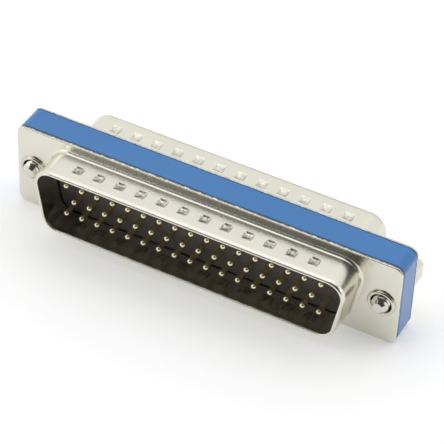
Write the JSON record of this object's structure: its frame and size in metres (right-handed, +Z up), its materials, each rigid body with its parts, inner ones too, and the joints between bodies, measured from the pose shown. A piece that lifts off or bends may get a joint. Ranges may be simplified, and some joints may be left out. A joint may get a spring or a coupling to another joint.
{
  "type": "d-sub gender changer",
  "caption": "Slim back-to-back D-shell gender changer: pin connectors front and rear on a moulded spacer frame, with captive jackscrews at its ends.",
  "frame": {"origin": "middle of the lower long edge, on which the part stands", "axes": "+X along the connectors, -Y the way the front connector mates, +Z up towards the front connector's wide side"},
  "size_m": [0.067, 0.0174, 0.0154],
  "materials": {
    "shell_metal": "bright tin plate on drawn steel",
    "insulator_plastic": "moulded, satin",
    "contact_gold": "gold flash on turned brass",
    "frame_plastic": "moulded, satin",
    "board_laminate": "solder mask on glass laminate",
    "rivet_metal": "bright tin plate",
    "screw_metal": "nickel plate"
  },
  "bodies": {
    "housing": {"front_shell": "shell_metal", "rear_shell": "shell_metal", "front_insulator": "insulator_plastic", "rear_insulator": "insulator_plastic", "front_pins_row_1": "contact_gold", "front_pins_row_2": "contact_gold", "front_pins_row_3": "contact_gold", "rear_pins_row_1": "contact_gold", "rear_pins_row_2": "contact_gold", "rear_pins_row_3": "contact_gold", "spacer_frame": "frame_plastic", "circuit_board": "board_laminate", "left_rivet": "rivet_metal", "right_rivet": "rivet_metal"},
    "left_jackscrew": {"left_jackscrew": "screw_metal"},
    "right_jackscrew": {"right_jackscrew": "screw_metal"}
  },
  "joints": [
    {"name": "left_jackscrew_spin", "type": "hinge", "parent": "housing", "child": "left_jackscrew", "pos_m": [-0.03055, 0, 0.00768], "axis": [0, -1, 0], "continuous": true},
    {"name": "right_jackscrew_spin", "type": "hinge", "parent": "housing", "child": "right_jackscrew", "pos_m": [0.03055, 0, 0.00768], "axis": [0, -1, 0], "continuous": true}
  ]
}
